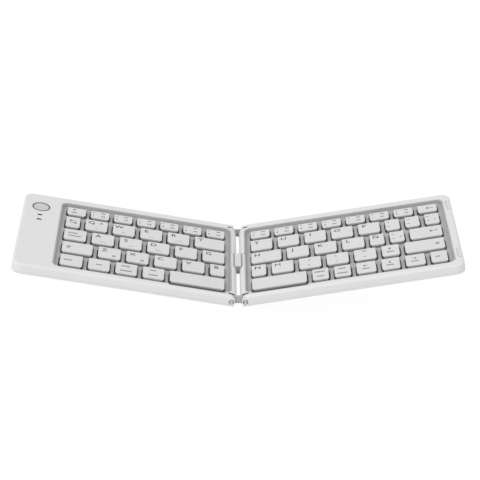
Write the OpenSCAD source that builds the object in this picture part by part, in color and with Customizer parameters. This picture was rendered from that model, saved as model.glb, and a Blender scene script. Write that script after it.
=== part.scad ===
// Folding keyboard of two halves, joined by link plates with two pins at each end.
// All sizes are in millimetres.
// The left half lies flat, and the hinge is shown partly folded.
// The origin lies on the table, under the axis of the left hinge pins, at mid depth.
// Inside a half, x runs out from its hinge pins, y runs to the rear, z runs up from its underside.

/* [Case] */
// Length of each half, from its hinge pins to its outer end
half_len = 138.3; // [134:0.1:142]
// Depth of the case, front to rear
case_depth = 98; // [97:0.5:100]
// Thickness of each half
case_h = 7.3; // [7.2:0.05:7.5]
// Wall and skin thickness of the shells
wall = 1.3; // [1.2:0.05:1.35]
// Radius of the outer corners, seen from above
corner_r = 6; // [5:0.5:8]
// Rounding of the upper outer edge
top_round = 1.8; // [1.4:0.1:2]
// Rounding of the lower outer edge
bottom_round = 0.9; // [0.7:0.1:1.2]
// Height at which the top frame meets the bottom cover
split_h = 1.8; // [1.7:0.1:2]

/* [Hinge] */
// Distance between the left and the right pin axis
link_len = 8.8; // [8.7:0.05:9]
// Radius of the rounded inner end of each half
end_r = 3.3; // [3.2:0.05:3.35]
// Distance from the pins to the inner face of the ears outside the link plates
ear_r = 2.2; // [2.1:0.05:2.4]
// Radius of the lower corner of the inner end
toe_r = 0.8; // [0.5:0.1:1.2]
// Angle between the left half and the hinge links, as shown
link_rise = 10; // [0:1:20]
// Angle between the hinge links and the right half, as shown
right_rise = 10; // [0:1:20]
// Radius of the hinge pins
pin_r = 0.8; // [0.7:0.05:0.8]
// Running clearance of a link plate on its pins
pin_play = 0.05; // [0.03:0.01:0.08]
// Radius of the slotted pin heads
pin_head_r = 1.5; // [1.4:0.05:1.6]
// Gap round a pin head in its seat
pin_head_gap = 0.2; // [0.1:0.05:0.25]
// Thickness of the pin heads
pin_head_t = 0.8; // [0.6:0.1:1]
// Depth that each pin reaches beyond its link plate
pin_tail = 2.2; // [1.8:0.1:2.6]
// Radius of a link plate round each pin
plate_r = 2.5; // [2.3:0.05:2.55]
// Thickness of the link plates
plate_t = 1.3; // [1.1:0.1:1.4]
// Gap on each side of a link plate in its slot
plate_gap = 0.2; // [0.15:0.05:0.25]
// Distance of the front link plate's middle from the front face
front_plate_in = 3.8; // [3.7:0.1:4]
// Distance of the rear link plate's middle from the rear face
rear_plate_in = 4.8; // [4.6:0.1:4.9]
// Width of the solid rail at the inner end, outward of the pins
rail_w = 2.2; // [2.1:0.1:2.3]

/* [Cable guide] */
// Length of the cable guide between the rails
guide_len = 17; // [14:0.5:20]
// Middle of the cable guide
guide_y = 0.4; // [-2:0.1:2]
// Half of the guide's width at its top
guide_half_w = 2.5; // [2.4:0.05:2.6]
// Height of the guide's top above the pin axes
guide_top = 3.5; // [3.4:0.05:3.6]
// Depth of the guide's underside below the pin axes
guide_under = 2.3; // [2:0.1:2.5]
// Depth of the hollow that the guide turns in, cut into the rails
guide_seat = 0.1; // [0.1:0.05:0.2]
// Running gap between the guide and the rails
guide_play = 0.15; // [0.1:0.05:0.2]
// Width of the ribbon cable
ribbon_w = 11; // [9:0.5:12]
// Thickness of the ribbon cable
ribbon_t = 0.3; // [0.2:0.05:0.4]

/* [Key field] */
// Distance from the left half's keys to its outer end
left_margin = 28.88; // [28.5:0.01:29.5]
// Distance from the right half's keys to its outer end
right_margin = 9.48; // [9:0.01:10]
// Distance from the hinge pins to the first key
field_start = 4.87; // [4.8:0.01:5]
// Width of the frame in front of the key well
front_band = 4.25; // [4.1:0.05:4.4]
// Width of the frame behind the key well
rear_band = 6.65; // [6.5:0.05:6.8]
// Depth of a number key
number_d = 9.6; // [9.4:0.05:9.7]
// Gap between neighbouring keys
key_gap = 3.5; // [3.4:0.05:3.6]
// Gap between neighbouring number keys
number_gap = 3.1; // [2.9:0.05:3.3]
// Corner radius of a keycap, seen from above
key_r = 3; // [2.9:0.1:3.1]
// Rounding of a keycap's upper edge
key_edge = 0.4; // [0.3:0.05:0.4]
// Height of the key tops above the underside of the case
key_top = 6.85; // [6.8:0.05:6.9]
// Height of a keycap
key_h = 2.5; // [2.4:0.05:2.6]
// How much wider a keycap is at its foot, on each side
key_flare = 0.4; // [0.3:0.05:0.4]
// Thickness of a keycap's top
key_roof = 1; // [0.8:0.1:1.2]
// Thickness of a keycap's skirt
key_skirt = 0.9; // [0.8:0.05:1]
// Travel of a key
key_travel = 1.3; // [1.1:0.1:1.35]
// Radius of the stem under a keycap
stem_r = 1.5; // [1.2:0.1:1.8]

/* [Key well] */
// Gap between the key field and the wall of the well, at its sides
well_margin = 4.4; // [4.3:0.05:4.45]
// Gap between the key field and the rear wall of the well
well_rear_margin = 4.7; // [4.5:0.1:4.8]
// Corner radius of the well
well_r = 4.5; // [4:0.1:5]
// Extra depth of the well in front of the space bar
space_notch = 1.4; // [1:0.1:1.5]
// Depth of the well's floor below the key tops
well_depth = 2.2; // [2.1:0.05:2.3]
// Thickness of the key bed's floor
bed_t = 0.6; // [0.5:0.05:0.7]
// Thickness of the key bed's upstanding rim
bed_rim = 0.7; // [0.6:0.05:0.8]
// Width of the lip under the top frame that holds the key bed down
lip_w = 1; // [0.8:0.05:1.1]
// Gap round a keycap's foot in the window of the key bed
window_gap = 0.3; // [0.25:0.05:0.35]
// Clearance between parts that lie next to each other
fit_gap = 0.1; // [0.08:0.01:0.12]

/* [Switch sheet] */
// Thickness of the metal base plate
base_t = 0.3; // [0.25:0.05:0.5]
// Thickness of the switch sheet
sheet_t = 0.3; // [0.2:0.05:0.35]
// Gap between a fully pressed keycap and its rubber dome
dome_gap = 0.3; // [0.2:0.05:0.4]
// Radius of a rubber dome at its foot
dome_r = 2.2; // [2:0.1:2.4]
// Radius of the posts under the key bed
post_r = 1; // [0.95:0.05:1.05]
// Distance of the outer posts from the ends of the key field
post_inset = 10; // [8:0.5:12]

/* [Power button] */
// Distance of the power button from the outer end
button_end = 11.6; // [11:0.1:12]
// Distance of the power button from the rear face
button_rear = 18.2; // [17:0.1:19]
// Outer radius of the button's ring
ring_r = 5.85; // [5.7:0.05:5.9]
// Width of the button's ring
ring_w = 0.7; // [0.5:0.05:0.8]
// Travel of the power button
button_travel = 0.5; // [0.3:0.1:0.5]
// Length of an indicator window
window_w = 3; // [2.6:0.1:3.2]
// Width of an indicator window
window_d = 1.7; // [1.4:0.1:2]
// Distance of the first indicator window in front of the button
first_window = 11.2; // [10.8:0.1:12]
// Distance between the two indicator windows
window_pitch = 6.3; // [5.5:0.1:6.5]

/* [Board and battery] */
// Width of the main board
board_w = 18; // [16:0.5:19]
// Depth of the main board
board_d = 38; // [36:0.5:40]
// Thickness of the main board
board_t = 0.8; // [0.6:0.1:0.9]
// Gap under the main board
board_lift = 0.6; // [0.5:0.05:0.7]
// Width of the battery
battery_w = 19; // [15:0.5:19]
// Gap between the battery and the main board
battery_gap = 4.6; // [3:0.1:12]
// Thickness of the battery
battery_t = 4; // [3.2:0.1:4.1]
// Width of the charging socket
socket_w = 7.6; // [7.4:0.1:8]
// Height of the charging socket
socket_h = 2.5; // [2.4:0.05:2.55]
// Depth of the charging socket
socket_d = 5.4; // [5:0.1:6]
// Wall of the charging socket's shell
socket_wall = 0.35; // [0.3:0.05:0.4]

/* [Feet, screws and bumpers] */
// Radius of a rubber foot
foot_r = 4; // [3.5:0.1:4.5]
// How far a rubber foot stands proud
foot_h = 0.6; // [0.5:0.05:0.8]
// Depth of the seat that a foot is glued into
foot_seat = 0.4; // [0.3:0.05:0.5]
// Distance of the inner feet from the hinge pins
foot_inner = 7; // [7:0.5:10]
// Distance of the outer feet from the outer end of a half
foot_outer = 13; // [12:0.5:14]
// Distance of the feet from the front and the rear face
foot_side = 10; // [9:0.5:12]
// Radius of a cover screw's shank
screw_r = 0.5; // [0.45:0.05:0.55]
// Radius of a cover screw's head
screw_head_r = 1.3; // [1.2:0.05:1.4]
// Height of a cover screw's head
screw_head_t = 0.6; // [0.5:0.05:0.7]
// Length of a bumper pad
pad_len = 12.6; // [11:0.1:13]
// Width of a bumper pad
pad_w = 2.6; // [2.4:0.1:2.8]
// How far a bumper pad stands proud of the frame
pad_h = 0.3; // [0.2:0.05:0.4]
// Gap round a bumper pad in its pocket
pad_gap = 0.25; // [0.15:0.05:0.3]
// Distance of the rear bumper pad's middle from the rear face
rear_pad_in = 16.6; // [16:0.1:18]
// Distance of the front bumper pad's middle from the front face
front_pad_in = 15.8; // [15:0.1:17]

/* [Hidden] */
LETTERS = ["q", "w", "e", "r", "t", "y", "u", "i", "o", "p", "a", "s", "d", "f", "g", "h", "j",
           "k", "l", "z", "x", "c", "v", "b", "n", "m"];
KEY_NODES = concat([for (letter = LETTERS) str("key_", letter)],
                   ["left_space_bar", "right_space_bar", "left_number_keys", "right_number_keys",
                    "left_side_keys", "right_side_keys", "right_bottom_keys"]);
BODY_NODES = ["left_bottom_cover", "left_top_frame", "left_key_bed", "left_base_plate",
              "left_switch_sheet", "battery", "main_board", "charging_socket",
              "power_button_ring", "power_button", "indicator_windows", "left_hinge_pins",
              "left_feet", "left_screws", "front_link_plate", "rear_link_plate", "cable_guide",
              "ribbon_cable", "right_bottom_cover", "right_top_frame", "right_key_bed",
              "right_base_plate", "right_switch_sheet", "right_hinge_pins", "right_feet",
              "right_screws", "bumper_pads"];

$fn = 48;
eps = 0.01;
past = 1; // how far a cutter reaches past a face
big = 2 * (half_len + case_depth);
left = 0;
right = 1;
sides = [-1, 1];

// Heights of the stack inside a half
pin_h = end_r;
bed_top = key_top - well_depth;
bed_under = bed_top - bed_t;
base_top = wall + base_t;
sheet_top = base_top + sheet_t;
skin_under = case_h - wall;
key_foot = key_top - key_h;
pin_z = foot_h + pin_h;
dome_h = key_foot - key_travel - dome_gap - sheet_top;
rim_drop = 0.25;
window_h = wall + 0.6;
pad_seat = 0.5;
pad_inset = 0.5;
screw_start = 0.1;
ring_proud = 0.1;
sheet_side = 1;
sheet_end = 0.5;
board_z = wall + board_lift;
board_top = board_z + board_t;
tact_h = 1.2;
tact_top = board_top + tact_h;

// Places that follow the outer faces
front_plate_y = -case_depth / 2 + front_plate_in;
rear_plate_y = case_depth / 2 - rear_plate_in;
foot_y = case_depth / 2 - foot_side;
button_x = half_len - button_end;
button_y = case_depth / 2 - button_rear;

// Widths of the keys at their tops
LETTER = 14.5;
WIDE = 19.75;
NARROW = 9.45;
TOP = 14.2;
FOOT = 13.75;
SPACE = 35;
SMALL = 10.5;
ARROW = 12.5;
DOWN = 11.6;
UP = 11.3;
TAB = 9.3;
CONTROL = 14.3;
LEFT_SHIFT = 19.6;
RIGHT_SHIFT = 25.4;
ENTER = 20.8;

// Each row lists its keys from the hinge outward, as [node, width].
// The widths of a row are shares, which fill the key field together with the gaps.
FIELD_ROWS = [
    [
        [for (i = [1:7]) ["left_number_keys", 1]],
        [["key_t", WIDE], ["key_r", LETTER], ["key_e", LETTER], ["key_w", LETTER],
         ["key_q", LETTER], ["left_side_keys", TAB]],
        [["key_g", LETTER], ["key_f", LETTER], ["key_d", LETTER], ["key_s", LETTER],
         ["key_a", LETTER], ["left_side_keys", LETTER]],
        [["key_b", NARROW], ["key_v", LETTER], ["key_c", LETTER], ["key_x", LETTER],
         ["key_z", LETTER], ["left_side_keys", LEFT_SHIFT]],
        [["left_space_bar", SPACE], ["left_side_keys", FOOT], ["left_side_keys", FOOT],
         ["left_side_keys", FOOT], ["left_side_keys", CONTROL]]
    ],
    [
        [for (i = [1:8]) ["right_number_keys", 1]],
        [["key_y", TOP], ["key_u", TOP], ["key_i", TOP], ["key_o", TOP], ["key_p", TOP],
         ["right_side_keys", NARROW], ["right_side_keys", NARROW], ["right_side_keys", NARROW]],
        [["key_h", WIDE], ["key_j", LETTER], ["key_k", LETTER], ["key_l", LETTER],
         ["right_side_keys", NARROW], ["right_side_keys", NARROW], ["right_side_keys", ENTER]],
        [["key_n", NARROW], ["key_m", TOP], ["right_side_keys", TOP], ["right_side_keys", TOP],
         ["right_side_keys", TOP], ["right_side_keys", UP], ["right_side_keys", RIGHT_SHIFT]],
        [["right_space_bar", SPACE], ["right_bottom_keys", SMALL], ["right_bottom_keys", SMALL],
         ["right_bottom_keys", ARROW], ["right_bottom_keys", DOWN], ["right_bottom_keys", ARROW],
         ["right_bottom_keys", SMALL]]
    ]
];
ROWS = [0:4];

// Outline of the well, and of the key field in it
well_x0 = field_start - well_margin;
well_y0 = -case_depth / 2 + front_band;
well_y1 = case_depth / 2 - rear_band;
function well_x1(side) = field_start + field_w(side) + well_margin;
field_rear = well_y1 - well_rear_margin;
field_front = well_y0 + well_margin;
key_d = (field_rear - field_front - number_d - 4 * key_gap) / 4;

function field_w(side) = half_len - field_start - (side == left ? left_margin : right_margin);
function row_gap(row) = row == 0 ? number_gap : key_gap;
function row_d(row) = row == 0 ? number_d : key_d;
function row_y(row) =
    row == 0 ? field_rear - number_d / 2
             : field_rear - number_d - row * key_gap - (row - 0.5) * key_d;
function sum_to(list, count) = count <= 0 ? 0 : list[count - 1] + sum_to(list, count - 1);

// Widths of a row's keys, from their shares
function row_widths(side, row) =
    let (shares = [for (key = FIELD_ROWS[side][row]) key[1]],
         room = field_w(side) - (len(shares) - 1) * row_gap(row),
         factor = room / sum_to(shares, len(shares)))
    [for (share = shares) share * factor];

// Every key of a half, as [node, middle x, middle y, width, depth]
function half_keys(side) = [
    for (row = ROWS)
        let (keys = FIELD_ROWS[side][row], widths = row_widths(side, row))
        for (i = [0:len(keys) - 1])
            [keys[i][0],
             field_start + sum_to(widths, i) + i * row_gap(row) + widths[i] / 2,
             row_y(row), widths[i], row_d(row)]
];

// The well reaches further forward in front of the space bars
notch_side = 1;
notch_r = 1;
notch_x0 = field_start - notch_side;
notch_x1 = field_start + SPACE + notch_side;

// Places of the main board and the battery in the left margin
margin_x0 = well_x1(left) + lip_w + 6 * fit_gap;
board_y1 = case_depth / 2 - wall - 3 * fit_gap;
battery_y0 = -case_depth / 2 + wall + top_round;
battery_d = board_y1 - board_d - battery_gap - battery_y0;

// Gaps between the rows, where posts and screws find room
function strip_y(row) = (row_y(row) - row_d(row) / 2 + row_y(row + 1) + row_d(row + 1) / 2) / 2;
function post_columns(side) = [field_start + post_inset, field_start + field_w(side) - post_inset];
function screw_places(side) = [
    for (x = post_columns(side), row = [0, 3]) [x, strip_y(row)]
];
function post_places(side) = concat(screw_places(side), [
    for (row = [1, 2]) [field_start + field_w(side) / 2, strip_y(row)]
]);

white_plastic = [0.90, 0.90, 0.89];
key_plastic = [0.93, 0.93, 0.93];
bed_grey = [0.64, 0.65, 0.66];
link_grey = [0.62, 0.62, 0.62];
steel = [0.72, 0.72, 0.73];

// Turns a half's own frame into the place of the left half
module left_place() {
    translate([0, 0, foot_h]) mirror([1, 0, 0]) children();
}

// Turns a frame with its origin on the left pins into the place of the hinge links
module link_place() {
    translate([0, 0, pin_z]) rotate([0, -link_rise, 0]) children();
}

module right_place() {
    link_place()
        translate([link_len, 0, 0]) rotate([0, -right_rise, 0]) translate([0, 0, -pin_h]) children();
}

module place(side) {
    if (side == left) left_place() children();
    else right_place() children();
}

// Rectangle from one corner to the other, with round corners
module round_rect(x0, y0, x1, y1, r) {
    translate([x0 + r, y0]) square([x1 - x0 - 2 * r, y1 - y0]);
    translate([x0, y0 + r]) square([x1 - x0, y1 - y0 - 2 * r]);
    for (x = [x0 + r, x1 - r], y = [y0 + r, y1 - r]) translate([x, y]) circle(r);
}

module centred_rect(w, d, r) {
    round_rect(-w / 2, -d / 2, w / 2, d / 2, r);
}

// Upright section with its own radius at the lower and the upper edge
module edge_section(w, h, r0, r1) {
    translate([-w / 2 + r0, 0]) square([w - 2 * r0, h - r1]);
    translate([-w / 2 + r1, r0]) square([w - 2 * r1, h - r0]);
    translate([-w / 2, r0]) square([w, h - r0 - r1]);
    for (s = sides) {
        translate([s * (w / 2 - r0), r0]) circle(r0);
        translate([s * (w / 2 - r1), h - r1]) circle(r1);
    }
}

// The outer form of a half, shrunk on every face by an inset
module half_form(inset) {
    least_r = 0.2;
    r0 = max(bottom_round - inset, least_r);
    r1 = max(top_round - inset, least_r);
    h = case_h - 2 * inset;
    puck_r = corner_r - inset;
    mid_x = half_len - corner_r;
    mid_y = case_depth / 2 - corner_r;
    translate([0, 0, inset]) {
        for (s = sides) translate([mid_x, s * mid_y, 0])
            rotate_extrude() intersection() {
                edge_section(2 * puck_r, h, r0, r1);
                square([corner_r, case_h]);
            }
        translate([mid_x, 0, 0]) rotate([90, 0, 0])
            linear_extrude(2 * mid_y, center = true) edge_section(2 * puck_r, h, r0, r1);
        translate([-case_h, 0, 0]) rotate([90, 0, 90])
            linear_extrude(mid_x + case_h) edge_section(case_depth - 2 * inset, h, r0, r1);
    }
}

// Side view of an inner end, round above the pins and nearly square below them
module end_section(reach) {
    crown_r = case_h - pin_h;
    crown_x = crown_r - reach + fit_gap;
    translate([0, pin_h]) circle(reach);
    translate([crown_x, pin_h]) circle(crown_r);
    translate([-reach + toe_r, toe_r]) circle(toe_r);
    translate([-reach, toe_r]) square([reach, pin_h - toe_r]);
    translate([-reach + toe_r, 0]) square([half_len, pin_h]);
    translate([crown_x, 0]) square([half_len, case_h + past]);
}

// A prism along y with its section drawn in x and z
module along_y(y0, y1) {
    translate([0, y1, 0]) rotate([90, 0, 0]) linear_extrude(y1 - y0) children();
}

module half_solid() {
    intersection() {
        half_form(0);
        union() {
            along_y(-case_depth, front_plate_y) end_section(ear_r);
            along_y(front_plate_y, rear_plate_y) end_section(end_r);
            along_y(rear_plate_y, case_depth) end_section(ear_r);
        }
    }
}

module half_cavity() {
    intersection() {
        half_form(wall);
        translate([rail_w, -big / 2, -past]) cube([big, big, big]);
    }
}

// Outline of the key well, grown by a margin
module well_outline(side, grow) {
    round_rect(well_x0 - grow, well_y0 - grow, well_x1(side) + grow, well_y1 + grow, well_r + grow);
    round_rect(notch_x0 - grow, well_y0 - space_notch - grow, notch_x1 + grow, 0, notch_r + grow);
}

// Room that a link plate needs in a half, from flat open to closed
module plate_slot(plate_y) {
    slot_r = plate_r + plate_gap;
    y0 = plate_y - plate_t / 2 - plate_gap;
    along_y(y0, y0 + plate_t + 2 * plate_gap) {
        translate([0, pin_h]) circle(slot_r);
        translate([-slot_r, pin_h]) square([2 * slot_r, case_h]);
        translate([-2 * slot_r, -past]) square([2 * slot_r, case_h + 2 * past]);
    }
}

// Bore for one pin, with the seat of its head, from the face at y0 inward
module pin_bore(face_y, plate_y) {
    inward = plate_y > 0 ? -1 : 1;
    tip_y = plate_y + inward * (plate_t / 2 + pin_tail + fit_gap);
    head_y = face_y + inward * (pin_head_t + fit_gap);
    along_y(min(face_y - inward, tip_y), max(face_y - inward, tip_y))
        translate([0, pin_h]) circle(pin_r + fit_gap / 4);
    along_y(min(face_y - inward, head_y), max(face_y - inward, head_y))
        translate([0, pin_h]) circle(pin_head_r + pin_head_gap);
}

module hinge_pin(face_y, plate_y) {
    inward = plate_y > 0 ? -1 : 1;
    tip_y = plate_y + inward * (plate_t / 2 + pin_tail);
    head_y = face_y + inward * pin_head_t;
    slot_y = face_y + inward * pin_head_t / 2;
    slot_w = 0.4;
    difference() {
        union() {
            along_y(min(face_y, tip_y), max(face_y, tip_y)) translate([0, pin_h]) circle(pin_r);
            along_y(min(face_y, head_y), max(face_y, head_y))
                translate([0, pin_h]) circle(pin_head_r);
        }
        along_y(min(face_y - inward, slot_y), max(face_y - inward, slot_y))
            translate([-pin_head_r, pin_h - slot_w / 2]) square([2 * pin_head_r, slot_w]);
    }
}

// Room for the cable guide beside and above the pins, and the slot of the ribbon cable
module guide_hollow() {
    end_gap = 0.4;
    y0 = guide_y - guide_len / 2 - end_gap;
    y1 = guide_y + guide_len / 2 + end_gap;
    notch_z = pin_h + link_len / 2 - guide_half_w - fit_gap;
    difference() {
        along_y(y0, y1) {
            translate([-case_h, -past]) square([case_h, case_h + 2 * past]);
            translate([-case_h, notch_z]) square([case_h + guide_top + 2 * guide_play, case_h]);
        }
        along_y(y0 - past, y1 + past) translate([0, pin_h]) circle(end_r - guide_seat);
    }
    translate([-case_h, guide_y - ribbon_w / 2 - end_gap, pin_h - ribbon_t])
        cube([case_h + rail_w + past, ribbon_w + 2 * end_gap, 2 * ribbon_t]);
}

module frame_shell(side) {
    lip_under = bed_top + fit_gap;
    difference() {
        union() {
            difference() {
                half_solid();
                half_cavity();
                translate([rail_w, -big / 2, -past]) cube([big, big, split_h + past]);
            }
            intersection() {
                translate([0, 0, lip_under])
                    linear_extrude(skin_under - lip_under + wall / 2) well_outline(side, lip_w);
                half_solid();
            }
        }
        translate([0, 0, bed_under - fit_gap]) linear_extrude(case_h) well_outline(side, 0);
        plate_slot(front_plate_y);
        plate_slot(rear_plate_y);
        pin_bore(-case_depth / 2, front_plate_y);
        pin_bore(case_depth / 2, rear_plate_y);
        guide_hollow();
    }
}

module left_top_frame() {
    color(white_plastic) left_place() difference() {
        frame_shell(left);
        translate([button_x, button_y, 0]) cylinder(h = 2 * case_h, r = ring_r + fit_gap / 2);
        window_cutouts(fit_gap / 2);
        socket_cutout();
    }
}

module right_top_frame() {
    color(white_plastic) right_place() difference() {
        frame_shell(right);
        pad_pockets(pad_gap);
    }
}

module cover_shell(side) {
    difference() {
        intersection() {
            half_solid();
            translate([rail_w + fit_gap, -big / 2, -past])
                cube([big, big, split_h + past - fit_gap]);
        }
        half_cavity();
        for (x = [foot_inner, half_len - foot_outer], s = sides)
            translate([x, s * foot_y, -past])
                cylinder(h = past + foot_seat, r = foot_r + fit_gap / 2);
        for (spot = screw_places(side)) translate([spot[0], spot[1], -past]) {
            cylinder(h = case_h, r = screw_r + fit_gap);
            cylinder(h = past + screw_head_t + fit_gap, r = screw_head_r + fit_gap);
        }
    }
}

module left_bottom_cover() {
    color(white_plastic) left_place() {
        cover_shell(left);
        board_posts();
    }
}

module right_bottom_cover() {
    color(white_plastic) right_place() cover_shell(right);
}

// Floor and rim of the key well, with a window under each key and posts below
module key_bed(side) {
    rim_top = case_h - rim_drop;
    foot_room = key_flare + window_gap;
    flange_x0 = well_x0 + 2 * well_r;
    difference() {
        union() {
            translate([0, 0, bed_under]) linear_extrude(rim_top - bed_under)
                well_outline(side, -fit_gap);
            translate([flange_x0, well_y0 - lip_w, bed_under])
                cube([well_x1(side) - well_r - flange_x0, well_y1 - well_y0 + 2 * lip_w, bed_t]);
        }
        translate([0, 0, bed_top]) linear_extrude(case_h)
            well_outline(side, -fit_gap - bed_rim);
        for (key = half_keys(side)) translate([key[1], key[2], 0]) linear_extrude(case_h)
            centred_rect(key[3] + 2 * foot_room, key[4] + 2 * foot_room,
                         key_r + window_gap - fit_gap);
        guide_hollow();
    }
    difference() {
        for (spot = post_places(side)) translate([spot[0], spot[1], sheet_top])
            cylinder(h = bed_under - sheet_top + bed_t / 2, r = post_r);
        for (spot = screw_places(side)) translate([spot[0], spot[1], 0])
            cylinder(h = bed_under, r = screw_r + fit_gap / 4);
    }
}

module left_key_bed() {
    color(bed_grey) left_place() key_bed(left);
}

module right_key_bed() {
    color(bed_grey) right_place() key_bed(right);
}

// Flat outline of the base plate and the switch sheet
module plate_outline(side) {
    difference() {
        translate([rail_w + sheet_side, well_y0 + sheet_end])
            square([well_x1(side) - rail_w - sheet_side, well_y1 - well_y0 - 2 * sheet_end]);
        for (spot = screw_places(side)) translate(spot) circle(screw_r + 2 * fit_gap);
    }
}

module base_plate(side) {
    translate([0, 0, wall]) linear_extrude(base_t) plate_outline(side);
}

module left_base_plate() {
    color(steel) left_place() base_plate(left);
}

module right_base_plate() {
    color(steel) right_place() base_plate(right);
}

module switch_sheet(side) {
    dome_taper = 0.6;
    translate([0, 0, base_top]) linear_extrude(sheet_t) plate_outline(side);
    for (key = half_keys(side)) translate([key[1], key[2], sheet_top - eps])
        cylinder(h = dome_h, r1 = dome_r, r2 = dome_r * dome_taper);
}

module left_switch_sheet() {
    color("gainsboro") left_place() switch_sheet(left);
}

module right_switch_sheet() {
    color("gainsboro") right_place() switch_sheet(right);
}

// Side view of a keycap of a given width, flared towards its foot, with round upper corners
module cap_section(w) {
    half = w / 2;
    round_z = key_top - key_edge;
    polygon([[-half - key_flare, key_foot], [half + key_flare, key_foot], [half, round_z],
             [half - key_edge, key_top], [key_edge - half, key_top], [-half, round_z]]);
    for (s = sides) translate([s * (half - key_edge), round_z]) circle(key_edge);
}

module keycap(w, d) {
    foot_w = w + 2 * key_flare;
    foot_d = d + 2 * key_flare;
    difference() {
        intersection() {
            along_y(-d, d) cap_section(w);
            rotate([0, 0, 90]) along_y(-w, w) cap_section(d);
            linear_extrude(case_h) centred_rect(foot_w + 2 * fit_gap, foot_d + 2 * fit_gap, key_r);
        }
        linear_extrude(key_top - key_roof)
            centred_rect(foot_w - 2 * key_skirt, foot_d - 2 * key_skirt, key_r - key_skirt);
    }
    translate([0, 0, key_foot]) cylinder(h = key_h - key_roof + eps, r = stem_r);
}

// All the keycaps that belong to one node
module keycaps(name) {
    for (side = [left, right]) for (key = half_keys(side)) if (key[0] == name)
        color(key_plastic) place(side) translate([key[1], key[2], 0]) keycap(key[3], key[4]);
}

// The power button stands in its ring, with a flange that keeps it in the frame
module power_button_ring() {
    color("dimgray") left_place() translate([button_x, button_y, skin_under]) difference() {
        cylinder(h = wall + ring_proud, r = ring_r);
        translate([0, 0, -past]) cylinder(h = 2 * case_h, r = ring_r - ring_w);
    }
}

module power_button() {
    disc_r = ring_r - ring_w - 2 * fit_gap;
    flange_h = 0.5;
    flange_top = skin_under - 2 * fit_gap;
    stem_z = tact_top + button_travel + fit_gap;
    color([0.80, 0.83, 0.81]) left_place() translate([button_x, button_y, 0]) {
        translate([0, 0, flange_top - flange_h]) cylinder(h = flange_h, r = ring_r);
        translate([0, 0, flange_top - flange_h]) cylinder(h = case_h - flange_top + flange_h, r = disc_r);
        translate([0, 0, stem_z]) cylinder(h = flange_top - stem_z, r = stem_r);
    }
}

module window_cutouts(gap) {
    for (i = [0, 1])
        translate([button_x - window_w / 2 - gap,
                   button_y - first_window - i * window_pitch - window_d / 2 - gap,
                   skin_under - past])
            cube([window_w + 2 * gap, window_d + 2 * gap, case_h]);
}

module indicator_windows() {
    color([0.25, 0.22, 0.22]) left_place() intersection() {
        window_cutouts(0);
        translate([0, -big / 2, case_h - window_h]) cube([big, big, window_h]);
    }
}

module board_posts() {
    post_in = 1.5;
    board_post_r = 1.1;
    for (x = [margin_x0 + post_in, margin_x0 + board_w - post_in],
         y = [board_y1 - post_in, board_y1 - board_d + post_in])
        translate([x, y, wall - eps]) cylinder(h = board_lift + eps, r = board_post_r);
}

// The board carries a chip, the switch under the button and a lamp under each window
module main_board() {
    chip = [6, 6, 0.9];
    chip_place = [3, 4];
    tact_w = 4;
    lamp = [1.6, 1, 0.6];
    color("seagreen") left_place() {
        translate([margin_x0, board_y1 - board_d, board_z]) cube([board_w, board_d, board_t]);
        translate([button_x - tact_w / 2, button_y - tact_w / 2, board_top - eps])
            cube([tact_w, tact_w, tact_h + eps]);
        translate([margin_x0 + chip_place[0], board_y1 - board_d + chip_place[1], board_top - eps])
            cube(chip);
        for (i = [0, 1])
            translate([button_x - lamp[0] / 2,
                       button_y - first_window - i * window_pitch - lamp[1] / 2, board_top - eps])
                cube(lamp);
    }
}

module battery() {
    battery_edge = 0.8;
    color("silver") left_place()
        translate([margin_x0, battery_y0, wall]) rotate([90, 0, 90])
            linear_extrude(battery_w) translate([battery_d / 2, 0])
                edge_section(battery_d, battery_t, battery_edge, battery_edge);
}

module socket_cutout() {
    translate([button_x - socket_w / 2 - fit_gap, case_depth / 2 - socket_d, board_top])
        cube([socket_w + 2 * fit_gap, socket_d + past, socket_h + fit_gap]);
}

module charging_socket() {
    recess = 0.3;
    back_t = 1;
    socket_r = 0.6;
    mouth_r = 0.4;
    face_y = case_depth / 2 - recess;
    color(steel) left_place()
        translate([button_x, 0, board_top]) difference() {
            along_y(face_y - socket_d, face_y)
                round_rect(-socket_w / 2, 0, socket_w / 2, socket_h, socket_r);
            along_y(face_y - socket_d + back_t, face_y + past)
                round_rect(-socket_w / 2 + socket_wall, socket_wall,
                           socket_w / 2 - socket_wall, socket_h - socket_wall, mouth_r);
        }
}

module hinge_pins() {
    hinge_pin(-case_depth / 2, front_plate_y);
    hinge_pin(case_depth / 2, rear_plate_y);
}

module left_hinge_pins() {
    color(steel) left_place() hinge_pins();
}

module right_hinge_pins() {
    color(steel) right_place() hinge_pins();
}

module feet() {
    for (x = [foot_inner, half_len - foot_outer], s = sides)
        translate([x, s * foot_y, -foot_h]) cylinder(h = foot_h + foot_seat, r = foot_r);
}

module left_feet() {
    color([0.3, 0.3, 0.3]) left_place() feet();
}

module right_feet() {
    color([0.3, 0.3, 0.3]) right_place() feet();
}

module screws(side) {
    cross = [1.6, 0.3, 0.6];
    for (spot = screw_places(side)) translate([spot[0], spot[1], screw_start]) difference() {
        union() {
            cylinder(h = screw_head_t, r = screw_head_r);
            cylinder(h = bed_under - 2 * screw_start - fit_gap, r = screw_r);
        }
        for (turn = [0, 90]) rotate([0, 0, turn]) cube(cross, center = true);
    }
}

module left_screws() {
    color(steel) left_place() screws(left);
}

module right_screws() {
    color(steel) right_place() screws(right);
}

module link_plate(plate_y) {
    color(link_grey) link_place() along_y(plate_y - plate_t / 2, plate_y + plate_t / 2)
        difference() {
            union() {
                circle(plate_r);
                translate([0, -plate_r]) square([link_len, 2 * plate_r]);
                translate([link_len, 0]) circle(plate_r);
            }
            circle(pin_r + pin_play);
            translate([link_len, 0]) circle(pin_r + pin_play);
        }
}

module front_link_plate() {
    link_plate(front_plate_y);
}

module rear_link_plate() {
    link_plate(rear_plate_y);
}

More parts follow.
